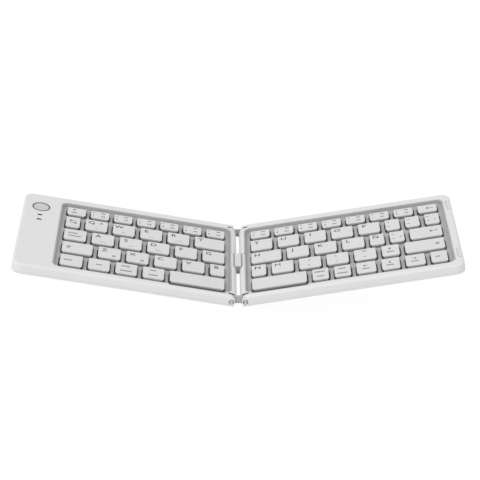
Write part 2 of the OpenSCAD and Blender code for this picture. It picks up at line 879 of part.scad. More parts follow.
// The guide's hollow flanks run on the rounded rails of both halves
module cable_guide() {
    flank_r = end_r - guide_seat + guide_play;
    under_half_w = 1.7;
    color([0.86, 0.86, 0.85]) link_place() difference() {
        along_y(guide_y - guide_len / 2, guide_y + guide_len / 2) difference() {
            union() {
                translate([link_len / 2 - guide_half_w, 0]) square([2 * guide_half_w, guide_top]);
                translate([link_len / 2 - under_half_w, -guide_under])
                    square([2 * under_half_w, guide_under + eps]);
            }
            circle(flank_r);
            translate([link_len, 0]) circle(flank_r);
        }
        translate([0, guide_y - ribbon_w / 2 - fit_gap, -ribbon_t / 2 - fit_gap])
            cube([link_len, ribbon_w + 2 * fit_gap, ribbon_t + 2 * fit_gap]);
    }
}

// The short stretch of the ribbon cable that the guide holds
module ribbon_cable() {
    flank_r = end_r - guide_seat + guide_play;
    color([0.75, 0.5, 0.25]) link_place()
        translate([flank_r, guide_y - ribbon_w / 2, -ribbon_t / 2])
            cube([link_len - 2 * flank_r, ribbon_w, ribbon_t]);
}

// Slim outline with round ends
module pad_outline(gap) {
    end_y = (pad_len - pad_w) / 2;
    square([pad_w + 2 * gap, 2 * end_y], center = true);
    for (s = sides) translate([0, s * end_y]) circle(pad_w / 2 + gap);
}

module pad_pockets(gap) {
    pad_x = half_len - pad_inset - pad_w / 2;
    for (y = [case_depth / 2 - rear_pad_in, -case_depth / 2 + front_pad_in])
        translate([pad_x, y, case_h - pad_seat]) linear_extrude(case_h) pad_outline(gap);
}

module bumper_pads() {
    color([0.85, 0.85, 0.85]) right_place() intersection() {
        pad_pockets(0);
        cube([big, big, 2 * (case_h + pad_h)], center = true);
    }
}

left_bottom_cover();
left_top_frame();
left_key_bed();
left_base_plate();
left_switch_sheet();
battery();
main_board();
charging_socket();
power_button_ring();
power_button();
indicator_windows();
left_hinge_pins();
left_feet();
left_screws();
front_link_plate();
rear_link_plate();
cable_guide();
ribbon_cable();
right_bottom_cover();
right_top_frame();
right_key_bed();
right_base_plate();
right_switch_sheet();
right_hinge_pins();
right_feet();
right_screws();
bumper_pads();
for (name = KEY_NODES) keycaps(name);
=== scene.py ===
# Looks of the folding keyboard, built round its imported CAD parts.
# Lengths are in metres in the frame of the CAD parts, and names that end in _mm are in millimetres.
import math
import bpy
from mathutils import Matrix, Vector


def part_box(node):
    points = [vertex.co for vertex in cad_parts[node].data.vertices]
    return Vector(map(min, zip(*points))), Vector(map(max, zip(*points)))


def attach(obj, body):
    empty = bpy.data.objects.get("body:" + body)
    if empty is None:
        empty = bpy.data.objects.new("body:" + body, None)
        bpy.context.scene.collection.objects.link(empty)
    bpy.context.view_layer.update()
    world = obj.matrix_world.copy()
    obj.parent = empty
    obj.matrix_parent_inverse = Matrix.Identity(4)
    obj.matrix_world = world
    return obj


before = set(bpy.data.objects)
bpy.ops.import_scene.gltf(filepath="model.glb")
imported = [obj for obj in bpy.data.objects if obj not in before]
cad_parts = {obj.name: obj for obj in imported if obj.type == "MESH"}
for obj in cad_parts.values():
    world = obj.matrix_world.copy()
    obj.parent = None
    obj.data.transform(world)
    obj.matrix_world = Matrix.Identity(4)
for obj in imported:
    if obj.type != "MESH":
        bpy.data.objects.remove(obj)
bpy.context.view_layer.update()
MM = 0.001

# Where the two halves lie at rest, as the CAD source places them
FOOT_MM = 0.6
PIN_MM = 3.3
PIN_FACE_MM = 1.1
PIN_SLOT_HALF_MM = 0.21
GUIDE_TOP_MM = 3.5
GUIDE_HALF_W_MM = 2.5
# The link plates' slots, whose insides get painted shade: half their width and depth in x and y, and their
# middles in y
SLOT_HALF_MM = (2.71, 0.86)
SLOT_Y_MM = (-45.2, 44.2)
LINK_MM = 8.8
FOLD = math.radians(10)
KEY_TOP_MM = 6.85
# Depths below a key's top between which the painted shade on its skirt goes from none to full
SKIRT_SHADE_START_MM = 0.1
SKIRT_SHADE_FULL_MM = 1.6
# How much higher the painted shade starts on a key's sides than on its front
SIDE_SHADE_RAISE_MM = 0.8
LEFT = "left"
RIGHT = "right"


def turned_up(angle):
    return Matrix.Rotation(-angle, 4, "Y")


def shifted(x, y, z):
    return Matrix.Translation((x, y, z))


LINK_PLACE = shifted(0, 0, FOOT_MM + PIN_MM) @ turned_up(FOLD)
PLACES = {
    LEFT: shifted(0, 0, FOOT_MM),
    RIGHT: LINK_PLACE @ shifted(LINK_MM, 0, 0) @ turned_up(FOLD) @ shifted(0, 0, -PIN_MM),
}
OUTWARD = {LEFT: -1, RIGHT: 1}


# Materials

class Tree:
    """A new material's nodes, with its shader and object coordinates at hand."""

    def __init__(self, name):
        self.material = bpy.data.materials.new(name)
        self.material.use_nodes = True
        self.nodes = self.material.node_tree.nodes
        self.links = self.material.node_tree.links
        self.shader = self.nodes["Principled BSDF"]
        self.place = self.nodes.new("ShaderNodeTexCoord")

    def link(self, output, target, socket):
        self.links.new(output, target.inputs[socket])

    def noise(self, size_mm, detail=3, stretch=None):
        """Noise whose features are about size_mm across, drawn out along an axis by stretch."""
        node = self.nodes.new("ShaderNodeTexNoise")
        node.inputs["Scale"].default_value = 1 / (size_mm * MM)
        node.inputs["Detail"].default_value = detail
        source = self.place.outputs["Object"]
        if stretch:
            mapping = self.nodes.new("ShaderNodeMapping")
            mapping.inputs["Scale"].default_value = stretch
            self.link(source, mapping, "Vector")
            source = mapping.outputs["Vector"]
        self.link(source, node, "Vector")
        return node.outputs["Fac"]

    def ramp(self, factor, low, high, start=0.3, end=0.7):
        """A colour between low and high, as factor goes from start to end."""
        node = self.nodes.new("ShaderNodeValToRGB")
        node.color_ramp.elements[0].position = start
        node.color_ramp.elements[0].color = (*low, 1)
        node.color_ramp.elements[1].position = end
        node.color_ramp.elements[1].color = (*high, 1)
        self.link(factor, node, "Fac")
        return node.outputs["Color"]

    def spread(self, factor, low, high):
        """A value between low and high that follows a noise."""
        node = self.nodes.new("ShaderNodeMapRange")
        node.inputs["From Min"].default_value = 0.3
        node.inputs["From Max"].default_value = 0.7
        node.inputs["To Min"].default_value = low
        node.inputs["To Max"].default_value = high
        self.link(factor, node, "Value")
        return node.outputs["Result"]

    def value(self, operation, first, second):
        """A sum on one output, with a number or another output."""
        node = self.nodes.new("ShaderNodeMath")
        node.operation = operation
        self.link(first, node, 0)
        if isinstance(second, (int, float)):
            node.inputs[1].default_value = second
        else:
            self.link(second, node, 1)
        return node.outputs["Value"]

    def fade(self, length, start_mm, end_mm):
        """A share that goes from 0 to 1 as a length goes from one value to another."""
        node = self.nodes.new("ShaderNodeMapRange")
        node.inputs["From Min"].default_value = start_mm * MM
        node.inputs["From Max"].default_value = end_mm * MM
        self.link(length, node, "Value")
        return node.outputs["Result"]

    def mixed(self, factor, first, second):
        node = self.nodes.new("ShaderNodeMix")
        node.data_type = "RGBA"
        self.links.new(factor, node.inputs["Factor"])
        self.links.new(first, node.inputs[6])
        self.links.new(second, node.inputs[7])
        return node.outputs[2]

    def bump(self, height, depth_mm, strength=1.0):
        node = self.nodes.new("ShaderNodeBump")
        node.inputs["Distance"].default_value = depth_mm * MM
        node.inputs["Strength"].default_value = strength
        self.link(height, node, "Height")
        self.link(node.outputs["Normal"], self.shader, "Normal")


def tinted(colour, change):
    return tuple(min(1, channel * (1 + change)) for channel in colour)


def moulded(name, colour, roughness=0.45, grain_mm=0.35, depth_mm=0.006, mottle=0.02, gloss=0.35):
    """Moulded plastic: a fine even grain, faint flow marks and slight changes of sheen."""
    tree = Tree(name)
    flow = tree.noise(22, 2)
    grain = tree.noise(grain_mm, 2)
    tree.link(tree.ramp(flow, tinted(colour, -mottle), tinted(colour, mottle)),
              tree.shader, "Base Color")
    tree.link(tree.spread(grain, roughness - 0.05, roughness + 0.06), tree.shader, "Roughness")
    tree.bump(grain, depth_mm)
    tree.shader.inputs["Specular IOR Level"].default_value = gloss
    return tree


def distance_along(tree, place, axis):
    """How far a point lies along one axis of a place's own frame, in metres."""
    direction = place.to_3x3() @ Vector(axis)
    reach = tree.nodes.new("ShaderNodeVectorMath")
    reach.operation = "DOT_PRODUCT"
    reach.inputs[1].default_value = direction
    tree.link(tree.place.outputs["Object"], reach, 0)
    return tree.value("SUBTRACT", reach.outputs["Value"], place.translation.dot(direction) * MM)


def painted(tree, share, colour):
    """Paints shade: turns a material into another colour by a share that goes from 0 to 1."""
    before = tree.shader.inputs["Base Color"].links[0].from_socket
    after = tree.ramp(tree.noise(3, 2), tinted(colour, -0.08), tinted(colour, 0.08))
    tree.link(tree.mixed(share, before, after), tree.shader, "Base Color")
    return tree


def shaded_below(tree, place, start_mm, end_mm, colour):
    """Paints shade onto a material, from one height down to another in a place's own frame."""
    height = distance_along(tree, place, (0, 0, 1))
    return painted(tree, tree.fade(height, start_mm, end_mm), colour)


def keycap_material(side):
    """A light cap with painted shade on its skirt, darkest towards its foot."""
    tree = moulded("keycap_" + side, (0.735, 0.735, 0.735), roughness=0.38, grain_mm=0.25, depth_mm=0.003,
                   mottle=0.012)
    sideways = tree.nodes.new("ShaderNodeVectorMath")
    sideways.operation = "DOT_PRODUCT"
    sideways.inputs[1].default_value = PLACES[side].to_3x3() @ Vector((1, 0, 0))
    tree.link(tree.place.outputs["Normal"], sideways, 0)
    # Painted shade: the sides that face a neighbour are darker than the fronts, and from higher up
    facing = tree.value("ABSOLUTE", sideways.outputs["Value"], 0)
    height = distance_along(tree, PLACES[side], (0, 0, 1))
    lowered = tree.value("SUBTRACT", height, tree.value("MULTIPLY", facing, SIDE_SHADE_RAISE_MM * MM))
    share = tree.fade(lowered, KEY_TOP_MM - SKIRT_SHADE_START_MM, KEY_TOP_MM - SKIRT_SHADE_FULL_MM)
    # Painted shade on the skirts, and deeper painted shade on the sides
    painted(tree, share, (0.16, 0.16, 0.16))
    return painted(tree, tree.value("MULTIPLY", share, facing), (0.04, 0.04, 0.04))


def guide_material():
    """A light guide with painted shade along its sides, in the gaps beside the rails, and painted shade
    below its top.
    """
    tree = moulded("guide_plastic", (0.7, 0.7, 0.695), roughness=0.4)
    middle = LINK_PLACE @ shifted(LINK_MM / 2, 0, 0)
    aside = tree.value("ABSOLUTE", distance_along(tree, middle, (1, 0, 0)), 0)
    # Painted shade along both sides of the guide
    edge_shade = tree.fade(aside, GUIDE_HALF_W_MM - 0.6, GUIDE_HALF_W_MM - 0.4)
    painted(tree, edge_shade, (0.24, 0.24, 0.24))
    # Painted shade below the guide's top
    return shaded_below(tree, LINK_PLACE, GUIDE_TOP_MM - 0.25, GUIDE_TOP_MM - 0.7, (0.36, 0.36, 0.36))


def case_material(side):
    """The white case, with painted shade inside the narrow slots for the link plates."""
    tree = moulded("case_plastic_" + side, (0.79, 0.79, 0.787), roughness=0.58, grain_mm=0.4, mottle=0.01,
                   gloss=0.25)
    half_w, half_d = SLOT_HALF_MM
    aside = tree.value("ABSOLUTE", distance_along(tree, PLACES[side], (1, 0, 0)), 0)
    in_width = tree.value("LESS_THAN", aside, half_w * MM)
    for slot_y in SLOT_Y_MM:
        along = distance_along(tree, PLACES[side] @ shifted(0, slot_y, 0), (0, 1, 0))
        in_depth = tree.value("LESS_THAN", tree.value("ABSOLUTE", along, 0), half_d * MM)
        # Painted shade on the walls inside each slot
        painted(tree, tree.value("MULTIPLY", in_width, in_depth), (0.24, 0.24, 0.24))
    return tree


def metal(name, colour, roughness=0.3, brush=(1, 1, 14), grain_mm=0.6, depth_mm=0.004):
    """Bare metal with drawn-out brush marks."""
    tree = Tree(name)
    marks = tree.noise(grain_mm, 4, brush)
    tree.link(tree.ramp(marks, tinted(colour, -0.12), tinted(colour, 0.1)), tree.shader, "Base Color")
    tree.link(tree.spread(marks, roughness - 0.08, roughness + 0.12), tree.shader, "Roughness")
    tree.shader.inputs["Metallic"].default_value = 1
    tree.bump(marks, depth_mm)
    return tree


def pin_material(side):
    """Turned pins with a light face, and painted shade on the bevelled rim and in the screwdriver slot."""
    tree = metal("pin_steel_" + side, (0.72, 0.72, 0.73), 0.45)
    tree.shader.inputs["Metallic"].default_value = 0.35
    axis = PLACES[side] @ shifted(0, 0, PIN_MM)
    flat = tree.nodes.new("ShaderNodeVectorMath")
    flat.operation = "MULTIPLY"
    flat.inputs[1].default_value = (1, 0, 1)
    tree.link(tree.place.outputs["Object"], flat, 0)
    away = tree.nodes.new("ShaderNodeVectorMath")
    away.operation = "DISTANCE"
    away.inputs[1].default_value = (axis.translation.x * MM, 0, axis.translation.z * MM)
    tree.link(flat.outputs["Vector"], away, 0)
    # Painted shade on the bevelled rim round the light face
    painted(tree, tree.fade(away.outputs["Value"], PIN_FACE_MM, PIN_FACE_MM + 0.15), (0.16, 0.16, 0.16))
    # Painted shade in the screwdriver slot
    off_slot = tree.value("ABSOLUTE", distance_along(tree, axis, (0, 0, 1)), 0)
    return painted(tree, tree.value("LESS_THAN", off_slot, PIN_SLOT_HALF_MM * MM), (0.22, 0.22, 0.22))


def striped(name, ground, line, pitch_mm, axis):
    """A film or board whose printed tracks run in even lines."""
    tree = moulded(name, ground, roughness=0.4, grain_mm=0.5, depth_mm=0.004)
    wave = tree.nodes.new("ShaderNodeTexWave")
    wave.bands_direction = axis
    wave.inputs["Scale"].default_value = 0.314 / (pitch_mm * MM)
    wave.inputs["Distortion"].default_value = 0.4
    tree.link(tree.place.outputs["Object"], wave, "Vector")
    base = tree.shader.inputs["Base Color"].links[0].from_socket
    tracks = tree.ramp(wave.outputs["Fac"], (0, 0, 0), (1, 1, 1), 0.45, 0.6)
    colour = tree.ramp(tree.noise(4, 2), tinted(line, -0.1), tinted(line, 0.1))
    tree.link(tree.mixed(tracks, base, colour), tree.shader, "Base Color")
    return tree


CASES = {side: case_material(side) for side in (LEFT, RIGHT)}
KEYS = {side: keycap_material(side) for side in (LEFT, RIGHT)}
BED = moulded("bed_plastic", (0.5, 0.5, 0.5), roughness=0.55, mottle=0.04)
GUIDE = guide_material()
LINK = moulded("link_paint", (0.46, 0.46, 0.46), roughness=0.42, grain_mm=0.2, depth_mm=0.004,
               mottle=0.05)
INK = moulded("legend_ink", (0.025, 0.025, 0.028), roughness=0.6, grain_mm=0.1, depth_mm=0.002,
              mottle=0.2)
FAINT_INK = moulded("faint_ink", (0.12, 0.12, 0.125), roughness=0.6, grain_mm=0.1, depth_mm=0.002,
                    mottle=0.2)
PINS = {side: pin_material(side) for side in (LEFT, RIGHT)}
PLATE = metal("plate_alloy", (0.66, 0.66, 0.67), 0.4, (14, 1, 1), 1.5)
SCREW = metal("screw_steel", (0.5, 0.5, 0.51), 0.34, (6, 6, 1))
SOCKET = metal("socket_steel", (0.6, 0.6, 0.61), 0.28, (1, 8, 1))
FOIL = metal("battery_foil", (0.72, 0.72, 0.73), 0.38, (1, 1, 1), 2.4, 0.05)
# The switch film is near black as painted shade, darkening the gaps round the keys where it shows through
FILM_AS_SHADE = moulded("switch_film", (0.05, 0.05, 0.052), roughness=0.4, grain_mm=1.2, mottle=0.15)
BOARD = striped("board_green", (0.03, 0.16, 0.07), (0.07, 0.28, 0.13), 0.7, "X")
RIBBON = striped("ribbon_film", (0.42, 0.22, 0.07), (0.6, 0.36, 0.16), 0.8, "Y")
RING = moulded("ring_plastic", (0.1, 0.055, 0.06), roughness=0.3, grain_mm=0.2, mottle=0.1)
BUTTON = moulded("button_plastic", (0.59, 0.625, 0.612), roughness=0.35, grain_mm=0.2, depth_mm=0.003)
WINDOW = moulded("window_plastic", (0.02, 0.012, 0.013), roughness=0.25, grain_mm=1, depth_mm=0.001,
                 mottle=0.1, gloss=0.15)
FOOT = moulded("foot_rubber", (0.09, 0.09, 0.09), roughness=0.75, grain_mm=0.3, depth_mm=0.015, mottle=0.08)
BUMPER = moulded("bumper_rubber", (0.72, 0.72, 0.715), roughness=0.4, grain_mm=0.3, mottle=0.02)

NODE_LOOKS = {
    "key_bed": BED, "base_plate": PLATE,
    "switch_sheet": FILM_AS_SHADE, "battery": FOIL, "main_board": BOARD, "charging_socket": SOCKET,
    "power_button_ring": RING, "power_button": BUTTON, "indicator_windows": WINDOW,
    "feet": FOOT, "screws": SCREW, "front_link_plate": LINK,
    "rear_link_plate": LINK, "cable_guide": GUIDE, "ribbon_cable": RIBBON, "bumper_pads": BUMPER,
}


def dress(node, tree):
    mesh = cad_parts[node].data
    mesh.materials.clear()
    mesh.materials.append(tree.material)


# Key legends

LETTER = 14.5
NARROW = 9.45
WIDE = 19.75
TOP = 14.2
FOOT_KEY = 13.75
SPACE = 35
SMALL = 10.5
ARROW = 12.5
NUMBER = 1
# Marks besides a key's letter: sign, its place from the key's middle in x and y, and its size.
# A word is only hinted at by a row of dashes, and its size is how many.
FOUR = [("minus", -4.3, 2.3, 1.6), ("word", 2, 2.3, 3), ("word", 2, -1.9, 3)]
PAIR = [("minus", -2.4, 3.3, 1.6), ("minus", -2.4, -2.4, 1.6)]


def under(count):
    return [("faint word", 0, -4, count)]


def two_words(upper, lower, gap=2.9):
    return [("word", -0.4, gap, upper), ("word", -0.2, -gap, lower)]


def arrow_key(sign):
    return [(sign, -0.4, 1.9, 2.4), ("word", -0.3, -1.8, 5)]


CORNER = [("square", 3, -3.6, 1.8)]
# Each row goes from the hinge outward: node, share of the row's width, letter, other marks
ROWS = {
    LEFT: [
        [("left_number_keys", NUMBER, digit, FOUR) for digit in "654321"]
        + [("left_number_keys", NUMBER, "", [("ring", -1.7, 2, 1.6), ("word", -1.7, -1.9, 4)])],
        [("key_t", WIDE, "T", []), ("key_r", LETTER, "R", under(5)), ("key_e", LETTER, "E", under(3)),
         ("key_w", LETTER, "W", under(3)), ("key_q", LETTER, "Q", under(3) + [("ring", 3.1, 3.3, 1.5)]),
         ("left_side_keys", 9.3, "", [("tab", 0, 0.2, 4)])],
        [("key_g", LETTER, "G", []), ("key_f", LETTER, "F", []), ("key_d", LETTER, "D", under(4)),
         ("key_s", LETTER, "S", under(4)), ("key_a", LETTER, "A", under(4)),
         ("left_side_keys", LETTER, "", [("word", -1.6, 1.8, 6), ("word", -0.3, -1.8, 9)])],
        [("key_b", NARROW, "B", []), ("key_v", LETTER, "V", []), ("key_c", LETTER, "C", []),
         ("key_x", LETTER, "X", CORNER), ("key_z", LETTER, "Z", CORNER),
         ("left_side_keys", 19.6, "", [("shift", -5.7, 0, 2.6)])],
        [("left_space_bar", SPACE, "", []), ("left_side_keys", FOOT_KEY, "", two_words(4, 6)),
         ("left_side_keys", FOOT_KEY, "", two_words(6, 8)),
         ("left_side_keys", FOOT_KEY, "", [("word", 0, -0.3, 4)]),
         ("left_side_keys", 14.3, "", [("word", -2.1, -0.1, 6)])],
    ],
    RIGHT: [
        [("right_number_keys", NUMBER, digit, FOUR) for digit in "7890?!="]
        + [("right_number_keys", NUMBER, "", [("left", 1.6, 0, 4.4)])],
        [("key_y", TOP, "Y", []), ("key_u", TOP, "U", []), ("key_i", TOP, "I", []),
         ("key_o", TOP, "O", []), ("key_p", TOP, "P", []), ("right_side_keys", NARROW, "", PAIR),
         ("right_side_keys", NARROW, "", PAIR),
         ("right_side_keys", NARROW, "", PAIR + [("slash", 2, -1.5, 1.6)])],
        [("key_h", WIDE, "H", []), ("key_j", LETTER, "J", []), ("key_k", LETTER, "K", []),
         ("key_l", LETTER, "L", []), ("right_side_keys", NARROW, "Ñ", []),
         ("right_side_keys", NARROW, "", PAIR + [("slash", 2.1, -1.5, 1.6)]),
         ("right_side_keys", 20.8, "", [("enter", 4.8, 0.4, 4.6)])],
        [("key_n", NARROW, "N", []), ("key_m", TOP, "M", []),
         ("right_side_keys", TOP, "", [("comma", -0.5, 0, 5.5)]),
         ("right_side_keys", TOP, "", [("stop", -1, 0, 5.5)]),
         ("right_side_keys", TOP, "", [("word", -0.3, 3.8, 3), ("minus", -0.3, -3.3, 2)]),
         ("right_side_keys", 11.3, "", arrow_key("up")),
         ("right_side_keys", 25.4, "", [("shift", 8.1, 0, 2.6)])],
        [("right_space_bar", SPACE, "", []), ("right_bottom_keys", SMALL, "", two_words(7, 5)),
         ("right_bottom_keys", SMALL, "", two_words(5, 7)),
         ("right_bottom_keys", ARROW, "", arrow_key("left")),
         ("right_bottom_keys", 11.6, "", arrow_key("down")),
         ("right_bottom_keys", ARROW, "", arrow_key("right")),
         ("right_bottom_keys", SMALL, "", [("word", -0.8, -0.2, 3)])],
    ],
}
FIELD_START_MM = 4.87
FIELD_W_MM = {LEFT: 104.55, RIGHT: 123.95}
FIELD_REAR_MM = 37.65
KEY_GAP_MM = 3.5
NUMBER_GAP_MM = 3.1
KEY_D_MM = 13.6
NUMBER_D_MM = 9.6
INK_T_MM = 0.02
LETTER_SIZE_MM = 5
DIGIT_SIZE_MM = 2.6
LINE_MM = 0.42
DASH_MM = 0.66
DASH_PITCH_MM = 0.95


def circle_points(radius, count=16):
    return [(radius * math.cos(2 * math.pi * i / count), radius * math.sin(2 * math.pi * i / count))
            for i in range(count + 1)]


def arrow(turns):
    """A shaft and an open head that points left, turned by quarter turns."""
    lines = [[(0.5, 0), (-0.5, 0)], [(-0.2, 0.25), (-0.5, 0), (-0.2, -0.25)]]
    for _ in range(turns):
        lines = [[(y, -x) for x, y in line] for line in lines]
    return lines


def moved(lines, dx, dy):
    return [[(x + dx, y + dy) for x, y in line] for line in lines]


SHIFT = [(-0.2, -0.5), (0.2, -0.5), (0.2, 0), (0.5, 0), (0, 0.5), (-0.5, 0), (-0.2, 0), (-0.2, -0.5)]
SIGNS = {
    "left": arrow(0),
    "up": arrow(1),
    "right": arrow(2),
    "down": arrow(3),
    "enter": arrow(0) + [[(0.5, 0), (0.5, 0.3)]],
    "shift": [SHIFT],
    "tab": moved(arrow(0), -0.1, 0.35) + moved(arrow(2), 0.1, -0.35),
    "ring": [circle_points(0.4)],
    "square": [[(-0.4, -0.4), (0.4, -0.4), (0.4, 0.4), (-0.4, 0.4), (-0.4, -0.4)]],
    "minus": [[(-0.4, 0), (0.4, 0)]],
    "slash": [[(-0.3, -0.4), (0.3, 0.4)]],
    "comma": [[(0, 0.7), (0, 0.4)], [(0, -0.5), (-0.08, -0.75)]],
    "stop": [[(0, 0.7), (0, 0.4)], [(0, -0.65), (0, -0.75)]],
}


def bar_tree():
    """Geometry Nodes that lay a flat bar on every point, turned and sized by the point's own values."""
    tree = bpy.data.node_groups.new("printed_bars", "GeometryNodeTree")
    tree.interface.new_socket("Points", in_out="INPUT", socket_type="NodeSocketGeometry")
    tree.interface.new_socket("Ink thickness", in_out="INPUT", socket_type="NodeSocketFloat")
    tree.interface.new_socket("Ink", in_out="INPUT", socket_type="NodeSocketMaterial")
    tree.interface.new_socket("Bars", in_out="OUTPUT", socket_type="NodeSocketGeometry")
    given = tree.nodes.new("NodeGroupInput")
    bar = tree.nodes.new("GeometryNodeMeshCube")
    own_values = {}
    for name, kind in (("length", "FLOAT"), ("width", "FLOAT"), ("turn", "FLOAT_VECTOR")):
        own_values[name] = tree.nodes.new("GeometryNodeInputNamedAttribute")
        own_values[name].data_type = kind
        own_values[name].inputs["Name"].default_value = name
    size = tree.nodes.new("ShaderNodeCombineXYZ")
    turn = tree.nodes.new("FunctionNodeEulerToRotation")
    laid = tree.nodes.new("GeometryNodeInstanceOnPoints")
    real = tree.nodes.new("GeometryNodeRealizeInstances")
    inked = tree.nodes.new("GeometryNodeSetMaterial")
    done = tree.nodes.new("NodeGroupOutput")
    tree.links.new(own_values["length"].outputs["Attribute"], size.inputs["X"])
    tree.links.new(own_values["width"].outputs["Attribute"], size.inputs["Y"])
    tree.links.new(given.outputs["Ink thickness"], size.inputs["Z"])
    tree.links.new(own_values["turn"].outputs["Attribute"], turn.inputs["Euler"])
    tree.links.new(given.outputs["Points"], laid.inputs["Points"])
    tree.links.new(bar.outputs["Mesh"], laid.inputs["Instance"])
    tree.links.new(turn.outputs["Rotation"], laid.inputs["Rotation"])
    tree.links.new(size.outputs["Vector"], laid.inputs["Scale"])
    tree.links.new(laid.outputs["Instances"], real.inputs["Geometry"])
    tree.links.new(real.outputs["Geometry"], inked.inputs["Geometry"])
    tree.links.new(given.outputs["Ink"], inked.inputs["Material"])
    tree.links.new(inked.outputs["Geometry"], done.inputs["Bars"])
    return tree


def laid_bars(bars, ink):
    """Points and faces of the bars, each given as (place, length, width)."""
    mesh = bpy.data.meshes.new("bars")
    mesh.from_pydata([place.translation for place, length, width in bars], [], [])
    turns = [angle for place, length, width in bars for angle in place.to_euler()]
    mesh.attributes.new("turn", "FLOAT_VECTOR", "POINT").data.foreach_set("vector", turns)
    for name, values in (("length", [bar[1] for bar in bars]), ("width", [bar[2] for bar in bars])):
        mesh.attributes.new(name, "FLOAT", "POINT").data.foreach_set("value", values)
    shape = bpy.data.objects.new("bars", mesh)
    bpy.context.scene.collection.objects.link(shape)
    modifier = shape.modifiers.new("bars", "NODES")
    modifier.node_group = BARS
    values = {"Ink thickness": INK_T_MM, "Ink": ink}
    for socket in BARS.interface.items_tree:
        if socket.name in values:
            modifier[socket.identifier] = values[socket.name]
    laid = bpy.data.meshes.new_from_object(shape.evaluated_get(bpy.context.evaluated_depsgraph_get()))
    points = [v.co.copy() for v in laid.vertices]
    faces = [list(face.vertices) for face in laid.polygons]
    bpy.data.objects.remove(shape)
    bpy.data.meshes.remove(mesh)
    bpy.data.meshes.remove(laid)
    return points, faces


BARS = bar_tree()


class Print:
    """Gathers the flat printed marks of one node and turns them into one thin mesh."""

    def __init__(self):
        self.points = []
        self.faces = []
        self.bars = []

    def add(self, points, faces, place):
        first = len(self.points)
        self.points += [place @ Vector(point) for point in points]
        self.faces += [[first + index for index in face] for face in faces]

    def bar(self, length, width, place):
        self.bars.append((place @ shifted(0, 0, INK_T_MM / 2), length, width))

    def stroke(self, start, end, place):
        a, b = Vector(start), Vector(end)
        turn = Matrix.Rotation(math.atan2(b.y - a.y, b.x - a.x), 4, "Z")
        middle = (a + b) / 2
        self.bar((b - a).length + LINE_MM, LINE_MM, place @ shifted(middle.x, middle.y, 0) @ turn)

    def sign(self, name, size, place):
        for line in SIGNS[name]:
            for start, end in zip(line, line[1:]):
                self.stroke([c * size for c in start], [c * size for c in end], place)

    def word(self, count, height, place):
        """A row of dashes in place of a word."""
        for i in range(count):
            x = (i - (count - 1) / 2) * DASH_PITCH_MM
            self.bar(DASH_MM, height, place @ shifted(x, 0, 0))

    def letter(self, letter, size, place):
        points, faces = glyphs(letter)
        self.add([(x * size * 1.1, y * size, z * INK_T_MM) for x, y, z in points], faces, place)

    def finish(self, name, tree, body):
        if self.bars:
            self.add(*laid_bars(self.bars, tree.material), Matrix())
        mesh = bpy.data.meshes.new(name)
        mesh.from_pydata([point * MM for point in self.points], [], self.faces)
        mesh.materials.append(tree.material)
        mesh.update()
        piece = bpy.data.objects.new(name, mesh)
        bpy.context.scene.collection.objects.link(piece)
        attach(piece, body)


GLYPHS = {}
BOLDER = 0.01


def glyphs(letter):
    """Vertices and faces of a letter one unit high and one thick, centred on its middle."""
    if letter not in GLYPHS:
        curve = bpy.data.curves.new("glyph", "FONT")
        curve.body = letter
        curve.align_x = "CENTER"
        curve.align_y = "CENTER"
        curve.size = 1
        curve.resolution_u = 3
        # The sharp corners of an M fill in when its outline grows
        curve.offset = 0 if letter == "M" else BOLDER
        curve.extrude = 0.5
        shape = bpy.data.objects.new("glyph", curve)
        bpy.context.scene.collection.objects.link(shape)
        mesh = bpy.data.meshes.new_from_object(shape.evaluated_get(bpy.context.evaluated_depsgraph_get()))
        points = [(v.co.x, v.co.y, v.co.z + 0.5) for v in mesh.vertices]
        GLYPHS[letter] = (points, [list(face.vertices) for face in mesh.polygons])
        bpy.data.objects.remove(shape)
        bpy.data.curves.remove(curve)
        bpy.data.meshes.remove(mesh)
    return GLYPHS[letter]


def row_place(row):
    """Middle of a row in y, its keys' depth and their gap, in millimetres."""
    if row == 0:
        return FIELD_REAR_MM - NUMBER_D_MM / 2, NUMBER_D_MM, NUMBER_GAP_MM
    y = FIELD_REAR_MM - NUMBER_D_MM - row * KEY_GAP_MM - (row - 0.5) * KEY_D_MM
    return y, KEY_D_MM, KEY_GAP_MM


def key_places(side):
    """Every key of a half, as (node, middle x, middle y, width, depth, letter, other marks)."""
    for row, keys in enumerate(ROWS[side]):
        y, depth, gap = row_place(row)
        share = (FIELD_W_MM[side] - (len(keys) - 1) * gap) / sum(key[1] for key in keys)
        x = FIELD_START_MM
        for node, width, letter, marks in keys:
            yield node, x + width * share / 2, y, width * share, depth, letter, marks
            x += width * share + gap


def add_legends():
    dark, faint = {}, {}
    for side in (LEFT, RIGHT):
        for node, x, y, width, depth, letter, marks in key_places(side):
            middle = PLACES[side] @ shifted(OUTWARD[side] * x, y, KEY_TOP_MM)
            ink = dark.setdefault(node, Print())
            pale = faint.setdefault(node, Print())
            if letter and "number" in node:
                ink.letter(letter, DIGIT_SIZE_MM, middle @ shifted(-4.3, -1.9, 0))
            elif letter:
                ink.letter(letter, LETTER_SIZE_MM, middle @ shifted(4 - width / 2, depth / 2 - 4.1, 0))
            for sign, dx, dy, size in marks:
                spot = middle @ shifted(dx, dy, 0)
                if sign == "word":
                    pale.word(size, 1.3, spot)
                elif sign == "faint word":
                    pale.word(size, 0.45, spot)
                elif sign == "shift":
                    pale.sign(sign, size, spot)
                else:
                    ink.sign(sign, size, spot)
    for marks, kind, tree in ((dark, "letters_", INK), (faint, "signs_", FAINT_INK)):
        for node, prints in marks.items():
            if prints.points or prints.bars:
                prints.finish(kind + node, tree, node)


